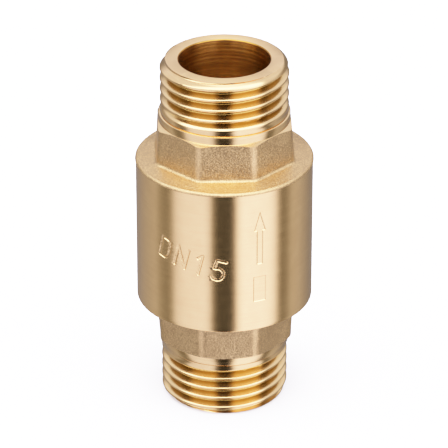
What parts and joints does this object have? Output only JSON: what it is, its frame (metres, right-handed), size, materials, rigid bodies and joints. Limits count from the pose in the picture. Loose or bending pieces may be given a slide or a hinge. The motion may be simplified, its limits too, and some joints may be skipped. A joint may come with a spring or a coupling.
{
  "type": "inline check valve",
  "caption": "Inline spring check valve: turned barrel between octagonal spanner necks with male pipe threads, sprung poppet on a guided stem sealing on a seat inside.",
  "frame": {"origin": "centre of the inlet end face, on which the valve stands", "axes": "+Z along the bore in the flow direction, from inlet to outlet; -Y towards the front flat of the outlet neck, beside which the flow arrow is cut"},
  "size_m": [0.0292, 0.0292, 0.0605],
  "materials": {
    "body_brass": "forged and blasted necks, turned and brushed barrel, machined threads",
    "cap_brass": "forged and blasted neck, machined thread and seat",
    "inner_brass": "machined",
    "stainless": "turned rod, drawn wire and stamped sheet, stainless",
    "nitrile_rubber": "moulded, satin black",
    "ptfe": "waxy white"
  },
  "bodies": {
    "housing": {"outlet_body": "body_brass", "inlet_cap": "cap_brass", "body_o_ring": "nitrile_rubber", "outlet_guide": "inner_brass", "outlet_guide_bush": "ptfe", "outlet_snap_ring": "stainless", "inlet_guide": "inner_brass", "inlet_guide_bush": "ptfe", "inlet_snap_ring": "stainless", "spring_top_washer": "stainless", "return_spring": "stainless"},
    "spring_foot": {"spring_foot_washer": "stainless"},
    "poppet": {"poppet_stem": "stainless", "poppet_disc": "inner_brass", "seat_seal": "nitrile_rubber", "seal_clamp_plate": "inner_brass", "clamp_lock_washer": "stainless", "clamp_nut": "inner_brass"}
  },
  "joints": [
    {"name": "poppet_lift", "type": "slide", "parent": "housing", "child": "spring_foot", "axis": [0, 0, 1], "range_m": [0, 0.0044], "stiffness_N_per_m": 300, "springref_m": -0.0022, "deforming": ["return_spring"]},
    {"name": "poppet_spin", "type": "hinge", "parent": "spring_foot", "child": "poppet", "pos_m": [0, 0, 0], "axis": [0, 0, 1], "continuous": true}
  ]
}
